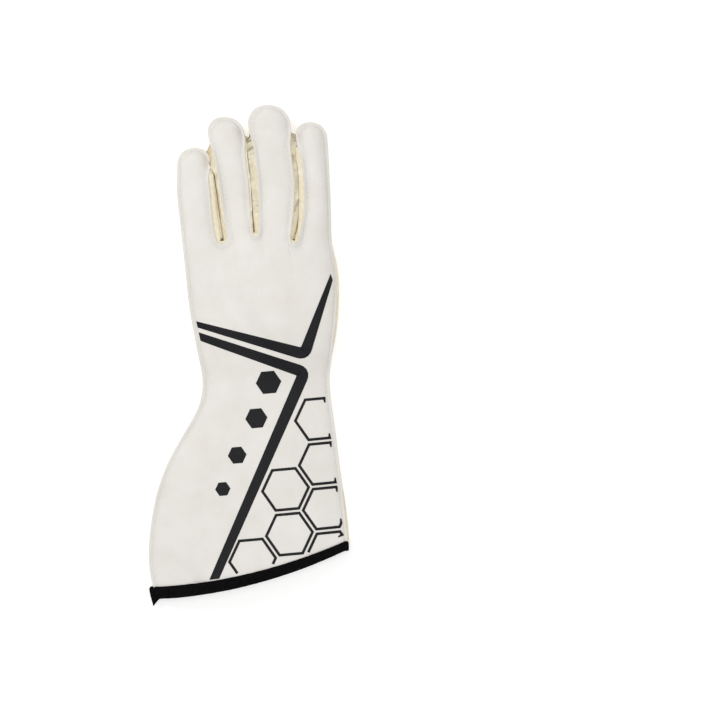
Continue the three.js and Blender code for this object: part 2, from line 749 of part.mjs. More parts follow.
// Path through three places with a round bend, in steps short enough to follow the cloth
function bentPath(places, step) {
  const [start, corner, end] = places.map(({ across, along, width, slant }) => (
    { ...handPlan(across, along), width: width * stripeWidth, slant }));
  const mix = (a, b, t) => (
    { x: lerp(a.x, b.x, t), y: lerp(a.y, b.y, t), width: lerp(a.width, b.width, t) });
  const length = (a, b) => Math.hypot(b.x - a.x, b.y - a.y);
  const legs = [[start, corner], [end, corner]].map(([from, to]) => {
    const run = length(from, to);
    const count = Math.ceil((run - stripeBend) / step);
    return [from, ...range(count).map((k) => mix(from, to, (k + 1) / count * (1 - stripeBend / run)))];
  });
  const [a, b] = legs.map((leg) => leg[leg.length - 1]);
  const bend = [0.2, 0.4, 0.6, 0.8].map((t) => mix(mix(a, corner, t), mix(corner, b, t), t));
  return [...legs[0], ...bend, ...legs[1].reverse()];
}

// Honeycomb of outlined cells, cut off beside the outer seam and at the binding
const cellTilt = THREE.MathUtils.degToRad(5);
const honeycombStart = { across: 0.704, along: -0.558 };
const honeycombCells = [
  { column: -1, row: 1 }, { column: 0, row: 0 }, { column: 0, row: 1 },
  { column: 1, row: -1 }, { column: 1, row: 0 }, { column: 1, row: 1 }, { column: 1, row: 2 },
];
function cellPath({ column, row }) {
  const start = handPlan(honeycombStart.across, honeycombStart.along);
  const turned = (x, y) => ({
    x: x * Math.cos(cellTilt) - y * Math.sin(cellTilt),
    y: x * Math.sin(cellTilt) + y * Math.cos(cellTilt),
  });
  const across = turned(cellPitch * Math.sqrt(3) / 2, cellPitch / 2);
  const down = turned(0, -cellPitch);
  const centre = {
    x: start.x + column * across.x + row * down.x,
    y: start.y + column * across.y + row * down.y,
  };
  const radius = (cellPitch - cellGap - cellStroke) / Math.sqrt(3);
  const corners = range(6).map((k) => {
    const { x, y } = turned(radius * Math.cos(k * Math.PI / 3), radius * Math.sin(k * Math.PI / 3));
    return { x: centre.x + x, y: centre.y + y };
  });
  const steps = 3;
  return corners.flatMap((p, k) => range(steps).map((i) => {
    const next = corners[(k + 1) % 6];
    return { x: lerp(p.x, next.x, i / steps), y: lerp(p.y, next.y, i / steps), width: cellStroke };
  }));
}

// Room that a place has to the print's edges: the outer seam and the hem's binding
const edgeAt = (across) => range(41).map((k) => handPlan(across, lerp(-1, 1, k / 40)));
const rightEdge = edgeAt(1);
const longStripe = bentPath(stripes.stripe_lower, cellPitch / 3);
const hemEdge = range(41).map((k) => handPlan(k / 40, -1));
const distanceTo = (line, p) => Math.min(...line.slice(1).map((q, k) => {
  const near = nearestOnSegment(p, [line[k], q]);
  return Math.hypot(p.x - near.x, p.y - near.y);
}));
const inHand = (p) => {
  const beside = rightEdge.reduce((best, q) => (Math.abs(q.y - p.y) < Math.abs(best.y - p.y) ? q : best));
  const below = hemEdge.reduce((best, q) => (Math.abs(q.x - p.x) < Math.abs(best.x - p.x) ? q : best));
  return p.x < beside.x && p.y > below.y;
};
const away = (p) => (inHand(p) ? 1 : -1);
const roomBySeam = (p) => away(p) * distanceTo(rightEdge, p) - printMargin;
const roomByTape = (p) => away(p) * distanceTo(hemEdge, p) - bindingWidth - cellStroke;
const roomByStripe = (p) => Math.min(...longStripe.slice(1).map((q, k) => (
  distanceTo([longStripe[k], q], p) - Math.max(longStripe[k].width, q.width) / 2 - cellStroke / 2)));
const roomAt = (p) => Math.min(roomBySeam(p), roomByTape(p), roomByStripe(p));

function clippedCell(cell) {
  const path = cellPath(cell);
  const count = path.length;
  const kept = path.map((p) => roomAt(p) > 0);
  if (kept.every(Boolean)) return { path, closed: true };
  if (!kept.some(Boolean)) return null;
  const start = range(count).find((k) => kept[k] && !kept[(k + count - 1) % count]);
  const run = [];
  for (let k = start; kept[k % count] && k < start + count; k += 1) run.push(path[k % count]);
  const cut = (inside, outside) => {
    const t = roomAt(inside) / (roomAt(inside) - roomAt(outside));
    return { x: lerp(inside.x, outside.x, t), y: lerp(inside.y, outside.y, t), width: cellStroke };
  };
  const first = cut(run[0], path[(start + count - 1) % count]);
  const last = cut(run[run.length - 1], path[(start + run.length) % count]);
  const tick = (from, to) => {
    if (roomBySeam(from) > roomByTape(from)) return [];
    const t = tickLength / Math.hypot(to.x - from.x, to.y - from.y);
    return [{ x: lerp(from.x, to.x, t), y: lerp(from.y, to.y, t), width: cellStroke / 2 }];
  };
  return { path: [...tick(first, last), first, ...run, last, ...tick(last, first)], closed: false };
}

// Plain solid hexagons in a row beside the long stripe, each smaller than the last
const cuffMarks = [
  { across: 0.52, along: 0.02, size: 0.9 },
  { across: 0.46, along: -0.17, size: 0.78 },
  { across: 0.41, along: -0.35, size: 0.66 },
  { across: 0.365, along: -0.51, size: 0.54 },
];

function filmPatch({ across, along, size }, over) {
  const centre = handPlan(across, along);
  const rings = [0, size * markRadius].map((radius) => range(7).map((k) => {
    const angle = cellTilt - k * Math.PI / 3;
    const [x, y] = [centre.x + radius * Math.cos(angle), centre.y + radius * Math.sin(angle)];
    return vec(x, y, over(x, y) + printGap + printThickness);
  }));
  return thicken(new Sheet().grid(rings), printThickness);
}

// Assembly
const cloth = new THREE.MeshStandardMaterial({ color: 0xe9e6e0, roughness: 0.85, metalness: 0 });
const suede = new THREE.MeshStandardMaterial({ color: 0xece4cc, roughness: 0.9, metalness: 0 });
const gussetCloth = new THREE.MeshStandardMaterial({ color: 0xe2d2b2, roughness: 0.9, metalness: 0 });
const tape = new THREE.MeshStandardMaterial({ color: 0x161616, roughness: 0.8, metalness: 0 });
const film = new THREE.MeshStandardMaterial({ color: 0x101012, roughness: 0.6, metalness: 0 });

const glove = new THREE.Group();
function addPiece(name, geometry, material) {
  const mesh = new THREE.Mesh(geometry, material);
  mesh.name = name;
  glove.add(mesh);
}

// Cutter for the mouth that joins the hand to the thumb
const mouthShape = new THREE.CylinderGeometry(1, 1, 4 * handThickness, 20).rotateX(Math.PI / 2)
  .scale(thumbMouthWidth / 2, thumbMouthLength / 2, 1).rotateZ(thumbTurn)
  .translate(thumbBase.x, thumbBase.y, 0);
const mouth = asManifold(mouthShape);
const withMouth = (geometry) => fromManifold(asManifold(geometry).subtract(mouth));

const back = panelSheet('back', 5);
const palm = panelSheet('palm', 4);
back.sheet.reshape(folded);
addPiece('back_panel', reshape(thicken(back.sheet, clothWall), lifted), cloth);
addPiece('palm_panel', withMouth(reshape(thicken(palm.sheet, suedeWall), lifted)), suede);
crotches.forEach(({ name }, gap) => {
  addPiece(name, reshape(thicken(gussetSheet(gap), gussetWall), lifted), gussetCloth);
});
addPiece('thumb_outer', thicken(thumbWall('under'), thumbCloth), cloth);
const tab = { length: tabLength, drop: tabDrop };
addPiece('binding_back', bindingGeometry(back.sheet, back.hemRows, clothWall, null), tape);
addPiece('binding_palm', bindingGeometry(palm.sheet, palm.hemRows, suedeWall, tab), tape);


// The thumb's mouth stands up in a collar that meets the palm all round
function mouthCollar() {
  const [turns, trim] = [18, clothWall / 3];
  const under = heightOf(palm.sheet.reshape(lifted), -1);
  const over = heightOf(thumbWall('upper'), 1);
  return loft(range(turns).map((k) => {
    const angle = 2 * Math.PI * k / turns;
    const [inner, outer] = [-trim, thumbCloth].map((extra) => alongThumb(
      (thumbMouthWidth / 2 + extra) * Math.cos(angle),
      (thumbMouthLength / 2 + extra) * Math.sin(angle),
    ));
    const low = ({ x, y }) => vec(x, y, over(x, y) - thumbCloth / 2);
    const high = ({ x, y }) => vec(x, y, under(x, y) - seamGap);
    return [low(inner), high(inner), high(outer), low(outer)];
  }), true);
}
const thumbTop = asManifold(thicken(thumbWall('upper'), thumbCloth)).add(asManifold(mouthCollar()));
addPiece('thumb_inner', withMouth(fromManifold(thumbTop)), suede);

const overBack = heightOf(back.sheet.reshape(lifted), 1);
const filmStep = 5.4;
for (const [name, places] of Object.entries(stripes)) {
  addPiece(name, filmBand(bentPath(places, filmStep), false, overBack, [-1, 0, 1]), film);
}
honeycombCells.map(clippedCell).forEach((cell, k) => {
  if (cell) addPiece(`honeycomb_cell_${k + 1}`, filmBand(cell.path, cell.closed, overBack, [-1, 1]), film);
});
cuffMarks.forEach((mark, k) => addPiece(`cuff_mark_${k + 1}`, filmPatch(mark, overBack), film));

// The origin is the middle of the glove's box in plan, on the surface that it lies on
const box = new THREE.Box3().setFromObject(glove);
const middle = box.getCenter(vec(0, 0, 0));
glove.position.set(-middle.x, -middle.y, -box.min.z);

export default glove;
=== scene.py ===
"""Left-hand racing glove, lying on its palm: the finish of every piece, the light and the camera."""
import math

import bmesh
import bpy
from mathutils import Matrix, Vector, noise
from mathutils.bvhtree import BVHTree
from mathutils.kdtree import KDTree


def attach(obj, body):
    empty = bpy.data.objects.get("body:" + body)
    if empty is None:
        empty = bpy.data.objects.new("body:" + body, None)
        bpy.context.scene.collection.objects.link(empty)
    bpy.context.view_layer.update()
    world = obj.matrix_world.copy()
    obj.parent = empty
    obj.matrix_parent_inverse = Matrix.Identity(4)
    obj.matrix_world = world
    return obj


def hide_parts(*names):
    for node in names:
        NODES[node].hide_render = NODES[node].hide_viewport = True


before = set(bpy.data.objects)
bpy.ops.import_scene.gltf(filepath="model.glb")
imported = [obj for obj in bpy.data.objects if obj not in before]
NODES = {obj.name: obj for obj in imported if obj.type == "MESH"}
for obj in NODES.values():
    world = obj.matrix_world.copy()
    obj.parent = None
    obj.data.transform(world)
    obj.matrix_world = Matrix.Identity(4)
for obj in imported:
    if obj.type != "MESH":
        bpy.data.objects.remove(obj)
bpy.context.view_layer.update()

# Sizes in metres
MM = 0.001
WELD = 0.01 * MM
ABOVE_ALL = 0.2
FLOOR_DROP = 0.1 * MM

# Most that two triangles bend and lean where they are joined into a quad
QUAD_BEND = math.radians(40)
QUAD_LEAN = math.radians(60)

# Printed film: its two faces over and in the cloth, and the longest edge it keeps
FILM_RISE = 0.16 * MM
FILM_SINK = 0.12 * MM
FILM_STEP = 1.1 * MM
FILM_ROUNDS = 5
CAD_FILM_MIDDLE = 0.65 * MM

# Heights between which a gusset turns from its painted shade colour, low in the slit, to its plain one
SLIT_SHADE_LOW = 9.0 * MM
SLIT_SHADE_HIGH = 14.0 * MM

# Seams: the flange outside them, which edges are sewn, and how far lips are drawn together
FLANGE = 2.4 * MM
GROOVE = {"width": 0.9 * MM, "depth": 0.35 * MM}
RIM_ANGLE = math.radians(68)
RIM_STEP = 0.4 * MM
WALL_MOST = 1.8 * MM
LIP_THICK = 1.5 * MM
SEAM_REACH = 3.4 * MM
SEAM_REST = 0.04 * MM
SEAM_FADE = 3.0 * MM

# Gussets: how their two sides swell to meet, and their lips spread from a share of the height
SLIT_REACH = 9 * MM
SLIT_GAP = 0.12 * MM
SWELL_LIFT = 1.12
AXIS_STEP = 2.0 * MM
LIP_FROM = 0.68
LIP_OUT = 1.5 * MM

# Distances in millimetres; all but the first are from the seam, as the meshes keep them
SLIT_START = 0.3
SMOOTH_FROM = 1.6
LIP_WHOLE = 1.5
LIP_NONE = 5.0

SUBDIVISIONS = 2
SMOOTH_ROUNDS = 5

# Photo framing: the photo is 713 pixels wide, at 0.74 mm to a pixel on a plane 9 mm up
PIXEL = 0.74 * MM
PHOTO_MIDDLE = 356.5
PHOTO_CENTRE = (80.34 * MM, -0.40 * MM)
PHOTO_PLANE = 9 * MM
CAMERA_HEIGHT = 2.2

# Creases in the back, in the photo's pixels; width and depth in millimetres
CREASES = (
    {"start": (222, 292), "end": (264, 338), "width": 5.0, "depth": 0.9},
    {"start": (236, 288), "end": (278, 328), "width": 6.0, "depth": -0.5},
    {"start": (176, 562), "end": (206, 590), "width": 5.0, "depth": 1.1},
    {"start": (168, 545), "end": (190, 560), "width": 7.0, "depth": -0.5},
    {"start": (296, 350), "end": (328, 366), "width": 5.0, "depth": 0.8},
    {"start": (205, 372), "end": (226, 380), "width": 6.0, "depth": 0.6},
    {"start": (198, 398), "end": (216, 420), "width": 7.0, "depth": 0.5},
    {"start": (180, 262), "end": (196, 300), "width": 7.0, "depth": 0.5},
)

# Stretches of the thumb side where the palm's lip shows past the back's, in the photo's pixels
SHOWN_LIPS = (
    {"start": (335, 262), "end": (338, 300)},
    {"start": (338, 300), "end": (335, 340)},
    {"start": (346, 500), "end": (348, 540)},
)
SHOWN_FADE = 7 * MM
LIP_IN = 1.0 * MM
LIP_PAST = 0.7 * MM

# A fold that the cloth keeps below the middle gap, sharp as a cut side but no seam
FOLD_START = (252, 245)
FOLD_END = (255, 272)
FOLD_REACH = 2.4 * MM

# Thread of the seams: stitches along the faces that look up, as half lengths, widths, heights
STITCH_PITCH = 3.0 * MM
STITCH = Vector((1.0, 0.24, 0.2)) * MM
STITCH_LIFT = 0.4
STEP_LEAST = 0.05 * MM
LOOKS_UP = 0.15

# Lowest points of the gaps between the fingers, in the photo's pixels
CROTCHES = ((221, 246), (256, 238), (293, 246))
CROTCH_FOLD = {"out": 6.5 * MM, "width": 1.8 * MM, "reach": 13 * MM, "depth": 0.45 * MM}

FILM_NODES = sorted(n for n in NODES if n.startswith(("stripe_", "honeycomb_", "cuff_mark_")))

# Where the two sides of each gusset meet, as a share of the gap from its little-finger side
GUSSETS = {"gusset_little_ring": 0.70, "gusset_ring_middle": 0.22, "gusset_middle_index": 0.42}

LIGHTS = (
    {"name": "key", "place": (-0.9, 0.9, 1.1), "size": 0.5, "power": 8.5},
    {"name": "fill", "place": (1.0, -0.6, 1.2), "size": 0.8, "power": 3.0},
    {"name": "top", "place": (0.1, 0.0, 1.8), "size": 1.0, "power": 7.5},
)
WORLD_STRENGTH = 0.55


def srgb(r, g, b):
    """Linear colour of an 8-bit one."""
    parts = [c / 255 for c in (r, g, b)]
    return tuple(p / 12.92 if p <= 0.04045 else ((p + 0.055) / 1.055) ** 2.4 for p in parts) + (1.0,)


CLOTH_WHITE = srgb(234, 231, 226)
CLOTH_SHADE = srgb(226, 222, 215)
THREAD_WHITE = srgb(240, 238, 233)
SUEDE_CREAM = srgb(240, 232, 208)
SUEDE_DARK = srgb(231, 220, 191)
GUSSET_CREAM = srgb(243, 237, 216)
GUSSET_BEIGE = srgb(232, 219, 187)
# Painted shade: the browner beige that the gussets take low down in the slit between the fingers
GUSSET_SLIT_SHADE = srgb(205, 183, 138)
TAPE_BLACK = srgb(5, 5, 6)
TAPE_GREY = srgb(16, 16, 18)
FILM_BLACK = srgb(3, 3, 4)
FILM_FLECK = srgb(23, 24, 28)
FLOOR_WHITE = srgb(225, 225, 225)


# Meshes

def welded(node):
    """A bmesh of a CAD node with its doubled corners joined."""
    bm = bmesh.new()
    bm.from_mesh(NODES[node].data)
    bmesh.ops.remove_doubles(bm, verts=bm.verts, dist=WELD)
    return bm


def quads(node):
    """A welded bmesh of a CAD node, with its triangles joined back into quads."""
    bm = welded(node)
    bmesh.ops.join_triangles(
        bm, faces=bm.faces, angle_face_threshold=QUAD_BEND, angle_shape_threshold=QUAD_LEAN
    )
    return bm


def object_of(name, bm):
    """A new object in the scene that takes over a bmesh."""
    mesh = bpy.data.meshes.new(name)
    bm.to_mesh(mesh)
    bm.free()
    thing = bpy.data.objects.new(name, mesh)
    bpy.context.scene.collection.objects.link(thing)
    return thing


def piece(name, bm, material, slot, *replaced):
    """A smooth object of the one body, from a bmesh that may stand for some CAD nodes."""
    thing = object_of(name, bm)
    thing.data.materials.append(material)
    for polygon in thing.data.polygons:
        polygon.use_smooth = True
    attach(thing, "root")
    if replaced:
        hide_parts(*replaced)
    return thing


def subdivided(bm, levels):
    """The same surface after Catmull-Clark subdivision, as a bmesh."""
    holder = object_of("fine", bm)
    mesh = holder.data
    modifier = holder.modifiers.new("fine", "SUBSURF")
    modifier.levels = levels
    modifier.render_levels = levels
    modifier.boundary_smooth = "PRESERVE_CORNERS"
    fine = bmesh.new()
    fine.from_object(holder, bpy.context.evaluated_depsgraph_get())
    bpy.data.objects.remove(holder)
    bpy.data.meshes.remove(mesh)
    return fine


def smooth(low, high, value):
    """Zero below one value, one above another, with an easy slope between."""
    t = max(0.0, min(1.0, (value - low) / (high - low)))
    return t * t * (3 - 2 * t)


def wobble(co, scale, seed):
    """Smooth noise from -1 to 1 about, at a size in metres."""
    return noise.noise(co / scale + Vector((seed, seed * 1.7, seed * 0.3)))


def photo_place(px, py):
    """Where a pixel of the photo lies in plan."""
    return Vector((
        PHOTO_CENTRE[0] + (px - PHOTO_MIDDLE) * PIXEL,
        PHOTO_CENTRE[1] - (py - PHOTO_MIDDLE) * PIXEL,
    ))


def height_range(bm):
    """Heights of a bmesh's lowest and highest corners."""
    heights = [v.co.z for v in bm.verts]
    return min(heights), max(heights)


def bell(distance, width):
    """One at no distance, falling away over a width."""
    return math.exp(-((distance / width) ** 2))


def from_line(place, start, end):
    """Distance in plan from a place to a stretch between two others."""
    along = end - start
    t = max(0.0, min(1.0, (place - start).dot(along) / along.length_squared))
    return (place - start - along * t).length


def rims(node):
    """Tree of places along the edges of a node's cut sides, where it is sewn or hemmed."""
    bm = welded(node)
    places = []
    fold = (photo_place(*FOLD_START), photo_place(*FOLD_END))
    for edge in bm.edges:
        if len(edge.link_faces) != 2 or edge.calc_face_angle() < RIM_ANGLE:
            continue
        if min(face.calc_area() for face in edge.link_faces) * 2 > WALL_MOST * edge.calc_length():
            continue
        a, b = (v.co for v in edge.verts)
        if node == "back_panel" and from_line(a.lerp(b, 0.5).xy, *fold) < FOLD_REACH:
            continue
        count = max(1, round(edge.calc_length() / RIM_STEP))
        places += [a.lerp(b, k / count) for k in range(count + 1)]
    bm.free()
    tree = KDTree(len(places))
    for i, place in enumerate(places):
        tree.insert(place, i)
    tree.balance()
    return tree


def measure_seam(bm, node):
    """Keeps on each vertex its distance to the seam, in millimetres."""
    tree = rims(node)
    layer = bm.verts.layers.float.new("seam_mm")
    for v in bm.verts:
        v[layer] = tree.find(v.co)[2] / MM
    return layer


def press_folds(bm, seam):
    """Creases across the back, the folds round the crotches, and the groove beside a seam."""
    creases = [
        (photo_place(*c["start"]), photo_place(*c["end"]), c["width"] * MM, c["depth"] * MM)
        for c in CREASES
    ]
    crotches = [photo_place(*place) for place in CROTCHES]
    bm.normal_update()
    for v in bm.verts:
        place = v.co.xy
        distance = v[seam] * MM
        press = sum(depth * bell(from_line(place, a, b), width) for a, b, width, depth in creases)
        near = max(bell((place - crotch).length, CROTCH_FOLD["reach"]) for crotch in crotches)
        press += CROTCH_FOLD["depth"] * near * bell(distance - CROTCH_FOLD["out"], CROTCH_FOLD["width"])
        press *= min(1.0, distance / FLANGE)
        press += GROOVE["depth"] * bell(distance - FLANGE, GROOVE["width"])
        v.co.z -= press


def close_slit(bm, meeting):
    """Lets the two sides of a gusset swell between its lips until they meet in the gap."""
    bm.normal_update()
    tree = BVHTree.FromBMesh(bm)
    low, high = height_range(bm)
    moves = []
    for v in bm.verts:
        flat = Vector((v.normal.x, v.normal.y, 0))
        if flat.length < 0.3:
            continue
        flat.normalize()
        hit, _, _, gap = tree.ray_cast(v.co + flat * SLIT_START * MM, flat, SLIT_REACH)
        if hit is None:
            continue
        up = (v.co.z - low) / (high - low)
        swell = math.sin(math.pi * min(1.0, up * SWELL_LIFT)) ** 0.6
        share = meeting if flat.x > 0 else 1.0 - meeting
        moves.append((v, flat * max(0.0, (gap + SLIT_START * MM) * share - SLIT_GAP) * swell))
    for v, move in moves:
        v.co += move


def shift_lips(bm, seam, out):
    """Moves the thumb side's seam lip out or in where the photo shows one past the other."""
    stretches = [(photo_place(*s["start"]), photo_place(*s["end"])) for s in SHOWN_LIPS]
    for v in bm.verts:
        near = min(from_line(v.co.xy, a, b) for a, b in stretches)
        v.co.x += out * bell(near, SHOWN_FADE) * (1.0 - smooth(LIP_WHOLE, LIP_NONE, v[seam]))


def seam_line(bm, seam, away):
    """Lines along the upper face at one distance from the seam, as places with their normals."""
    crossings = {}
    links = {}
    for face in bm.faces:
        if face.normal.z < LOOKS_UP:
            continue
        met = []
        for edge in face.edges:
            a, b = edge.verts
            if (a[seam] - away) * (b[seam] - away) < 0:
                t = (away - a[seam]) / (b[seam] - a[seam])
                crossings[edge.index] = (a.co.lerp(b.co, t), face.normal.copy())
                met.append(edge.index)
        if len(met) == 2:
            links.setdefault(met[0], []).append(met[1])
            links.setdefault(met[1], []).append(met[0])
    lines = []
    waiting = dict(links)
    while waiting:
        ends = [key for key, others in waiting.items() if len(others) == 1]
        here = ends[0] if ends else next(iter(waiting))
        line = []
        while here in waiting:
            line.append(crossings[here])
            onward = [key for key in waiting.pop(here) if key in waiting]
            here = onward[0] if onward else None
        lines.append(line)
    return lines


def stitches(bm, seam, away, material):
    """A row of thread stitches sunk a little into the cloth beside its seams."""
    bm.edges.index_update()
    bm.normal_update()
    ball = bmesh.new()
    bmesh.ops.create_uvsphere(ball, u_segments=8, v_segments=5, radius=1.0)
    corners = [v.co.copy() for v in ball.verts]
    # Sorted, because a new ball lists its faces in another order each run
    faces = sorted([v.index for v in face.verts] for face in ball.faces)
    ball.free()
    thread = bmesh.new()
    for line in seam_line(bm, seam, away):
        travelled = 0.0
        for (a, normal), (b, _) in zip(line, line[1:]):
            step = b - a
            travelled += step.length
            if travelled < STITCH_PITCH or step.length < STEP_LEAST:
                continue
            travelled = 0.0
            along = step.normalized()
            up = (normal - along * normal.dot(along)).normalized()
            turn = Matrix((along, up.cross(along), up)).transposed().to_4x4()
            lifted = Matrix.Translation(b + up * STITCH.z * STITCH_LIFT)
            place = lifted @ turn @ Matrix.Diagonal((*STITCH, 1))
            made = [thread.verts.new(place @ corner) for corner in corners]
            for face in faces:
                thread.faces.new([made[i] for i in face])
    piece("seam_stitches", thread, material, "cloth")


def gap_axis(bm):
    """Places along the middle of the gap between a gusset's two sides, from the crotch up."""
    sides = {}
    for v in bm.verts:
        if abs(v.normal.x) > 0.7:
            left, right = sides.setdefault(round(v.co.y / AXIS_STEP), ([], []))
            (left if v.normal.x > 0 else right).append(v.co.x)
    axis = []
    for step in sorted(sides):
        left, right = sides[step]
        if left and right and max(left) < min(right) + AXIS_STEP:
            axis.append(Vector(((max(left) + min(right)) / 2, step * AXIS_STEP)))
    return axis[1:]


def spread_lips(bm):
    """Thickens a gusset's upper lips towards the gap's middle, with a bumpy edge."""
    bm.normal_update()
    axis = gap_axis(bm)
    low, high = height_range(bm)
    for v in bm.verts:
        up = (v.co.z - low) / (high - low)
        place = v.co.xy
        way = min((point - place for point in axis), key=lambda way: way.length)
        far = way.length
        if up < LIP_FROM or far < 0.1 * MM:
            continue
        facing = max(0.0, min(1.0, v.normal.xy.dot(way / far) + 0.5))
        weight = min(1.0, (up - LIP_FROM) / (1.0 - LIP_FROM) * 2.5) * facing
        bumpy = 1.0 + 0.4 * wobble(v.co, scale=4 * MM, seed=2.2)
        move = way / far * min(LIP_OUT * bumpy, far * 0.55) * weight
        v.co += Vector((move.x, move.y, 0))


def press_together(bm, neighbours):
    """Draws a piece's seam lips up to the pieces that it is sewn to, keeping their thickness."""
    bm.normal_update()
    moves = []
    for v in bm.verts:
        near = [tree.find_nearest(v.co, SEAM_REACH) for tree in neighbours]
        ways = [hit[0] - v.co for hit in near if hit[0] is not None]
        if not ways:
            continue
        way = min(ways, key=lambda way: way.length)
        if way.length > SEAM_REST and way.dot(v.normal) > 0.6 * way.length:
            moves.append((v.co.copy(), way * (1.0 - SEAM_REST / way.length)))
    if not moves:
        return
    drawn = KDTree(len(moves))
    for i, (place, _) in enumerate(moves):
        drawn.insert(place, i)
    drawn.balance()
    for v in bm.verts:
        _, i, far = drawn.find(v.co)
        v.co += moves[i][1] * (1.0 - smooth(LIP_THICK, LIP_THICK + SEAM_FADE, far))


def soften(bm, wrinkle, pucker):
    """Small folds of the cloth, and still smaller puckers, along its normals."""
    bm.normal_update()
    moves = []
    for v in bm.verts:
        co = v.co
        broad = wobble(Vector((co.x * 1.6, co.y * 0.7, 0)), scale=22 * MM, seed=3.1)
        small = wobble(Vector((co.x, co.y, 0)), scale=7 * MM, seed=8.4)
        edge = wobble(co, scale=3.2 * MM, seed=5.5)
        moves.append(v.normal * (wrinkle * (0.7 * broad + 0.3 * small)) + v.normal * pucker * edge)
    for v, move in zip(bm.verts, moves):
        v.co += move


# Materials

def new_material(name):
    """A node material with its Principled shader."""
    material = bpy.data.materials.new(name)
    material.use_nodes = True
    nodes = material.node_tree.nodes
    return material, nodes, material.node_tree.links, nodes["Principled BSDF"]


def knit_group():
    """Fine knitted weave: a height of small ribs crossed by rows, and soft mottling."""
    group = bpy.data.node_groups.new("knit_weave", "ShaderNodeTree")
    for name in ("Rows", "Mottle"):
        group.interface.new_socket(name, in_out="INPUT", socket_type="NodeSocketFloat")
    group.interface.new_socket("Vector", in_out="INPUT", socket_type="NodeSocketVector")
    group.interface.new_socket("Height", in_out="OUTPUT", socket_type="NodeSocketFloat")
    group.interface.new_socket("Mottling", in_out="OUTPUT", socket_type="NodeSocketFloat")
    nodes, links = group.nodes, group.links
    inputs = nodes.new("NodeGroupInput")
    outputs = nodes.new("NodeGroupOutput")
    waves = []
    for direction in ("X", "Y"):
        wave = nodes.new("ShaderNodeTexWave")
        wave.bands_direction = direction
        wave.inputs["Distortion"].default_value = 1.5
        wave.inputs["Detail"].default_value = 2.0
        links.new(inputs.outputs["Vector"], wave.inputs["Vector"])
        links.new(inputs.outputs["Rows"], wave.inputs["Scale"])
        waves.append(wave)
    crossed = nodes.new("ShaderNodeMath")
    crossed.operation = "MULTIPLY"
    links.new(waves[0].outputs["Fac"], crossed.inputs[0])
    links.new(waves[1].outputs["Fac"], crossed.inputs[1])
    fuzz = nodes.new("ShaderNodeTexNoise")
    fuzz.inputs["Scale"].default_value = 1400.0
    fuzz.inputs["Detail"].default_value = 3.0
    links.new(inputs.outputs["Vector"], fuzz.inputs["Vector"])
    height = nodes.new("ShaderNodeMath")
    height.operation = "ADD"
    links.new(crossed.outputs[0], height.inputs[0])
    links.new(fuzz.outputs["Fac"], height.inputs[1])
    mottle = nodes.new("ShaderNodeTexNoise")
    mottle.inputs["Detail"].default_value = 5.0
    mottle.inputs["Roughness"].default_value = 0.6
    links.new(inputs.outputs["Vector"], mottle.inputs["Vector"])
    links.new(inputs.outputs["Mottle"], mottle.inputs["Scale"])
    links.new(height.outputs[0], outputs.inputs["Height"])
    links.new(mottle.outputs["Fac"], outputs.inputs["Mottling"])
    return group


KNIT = knit_group()


def seam_group():
    """Relief and painted shade beside a seam: a flat lip with a shaded cut edge, a shaded groove, then
    the full cloth.
    """
    group = bpy.data.node_groups.new("seam_profile", "ShaderNodeTree")
    group.interface.new_socket("Profile", in_out="OUTPUT", socket_type="NodeSocketFloat")
    nodes, links = group.nodes, group.links
    distance = nodes.new("ShaderNodeAttribute")
    distance.attribute_name = "seam_mm"
    scaled = nodes.new("ShaderNodeMath")
    scaled.operation = "MULTIPLY"
    scaled.inputs[1].default_value = 0.1
    links.new(distance.outputs["Fac"], scaled.inputs[0])
    ramp = nodes.new("ShaderNodeValToRGB")
    ramp.color_ramp.interpolation = "B_SPLINE"
    stops = ((0.0, 0.55), (0.06, 0.8), (0.15, 0.85), (0.23, 0.25), (0.34, 0.8), (0.6, 1.0))
    while len(ramp.color_ramp.elements) < len(stops):
        ramp.color_ramp.elements.new(0.5)
    for element, (place, value) in zip(ramp.color_ramp.elements, stops):
        element.position = place
        element.color = (value, value, value, 1.0)
    links.new(scaled.outputs[0], ramp.inputs["Fac"])
    links.new(ramp.outputs["Color"], nodes.new("NodeGroupOutput").inputs["Profile"])
    return group


SEAM = seam_group()


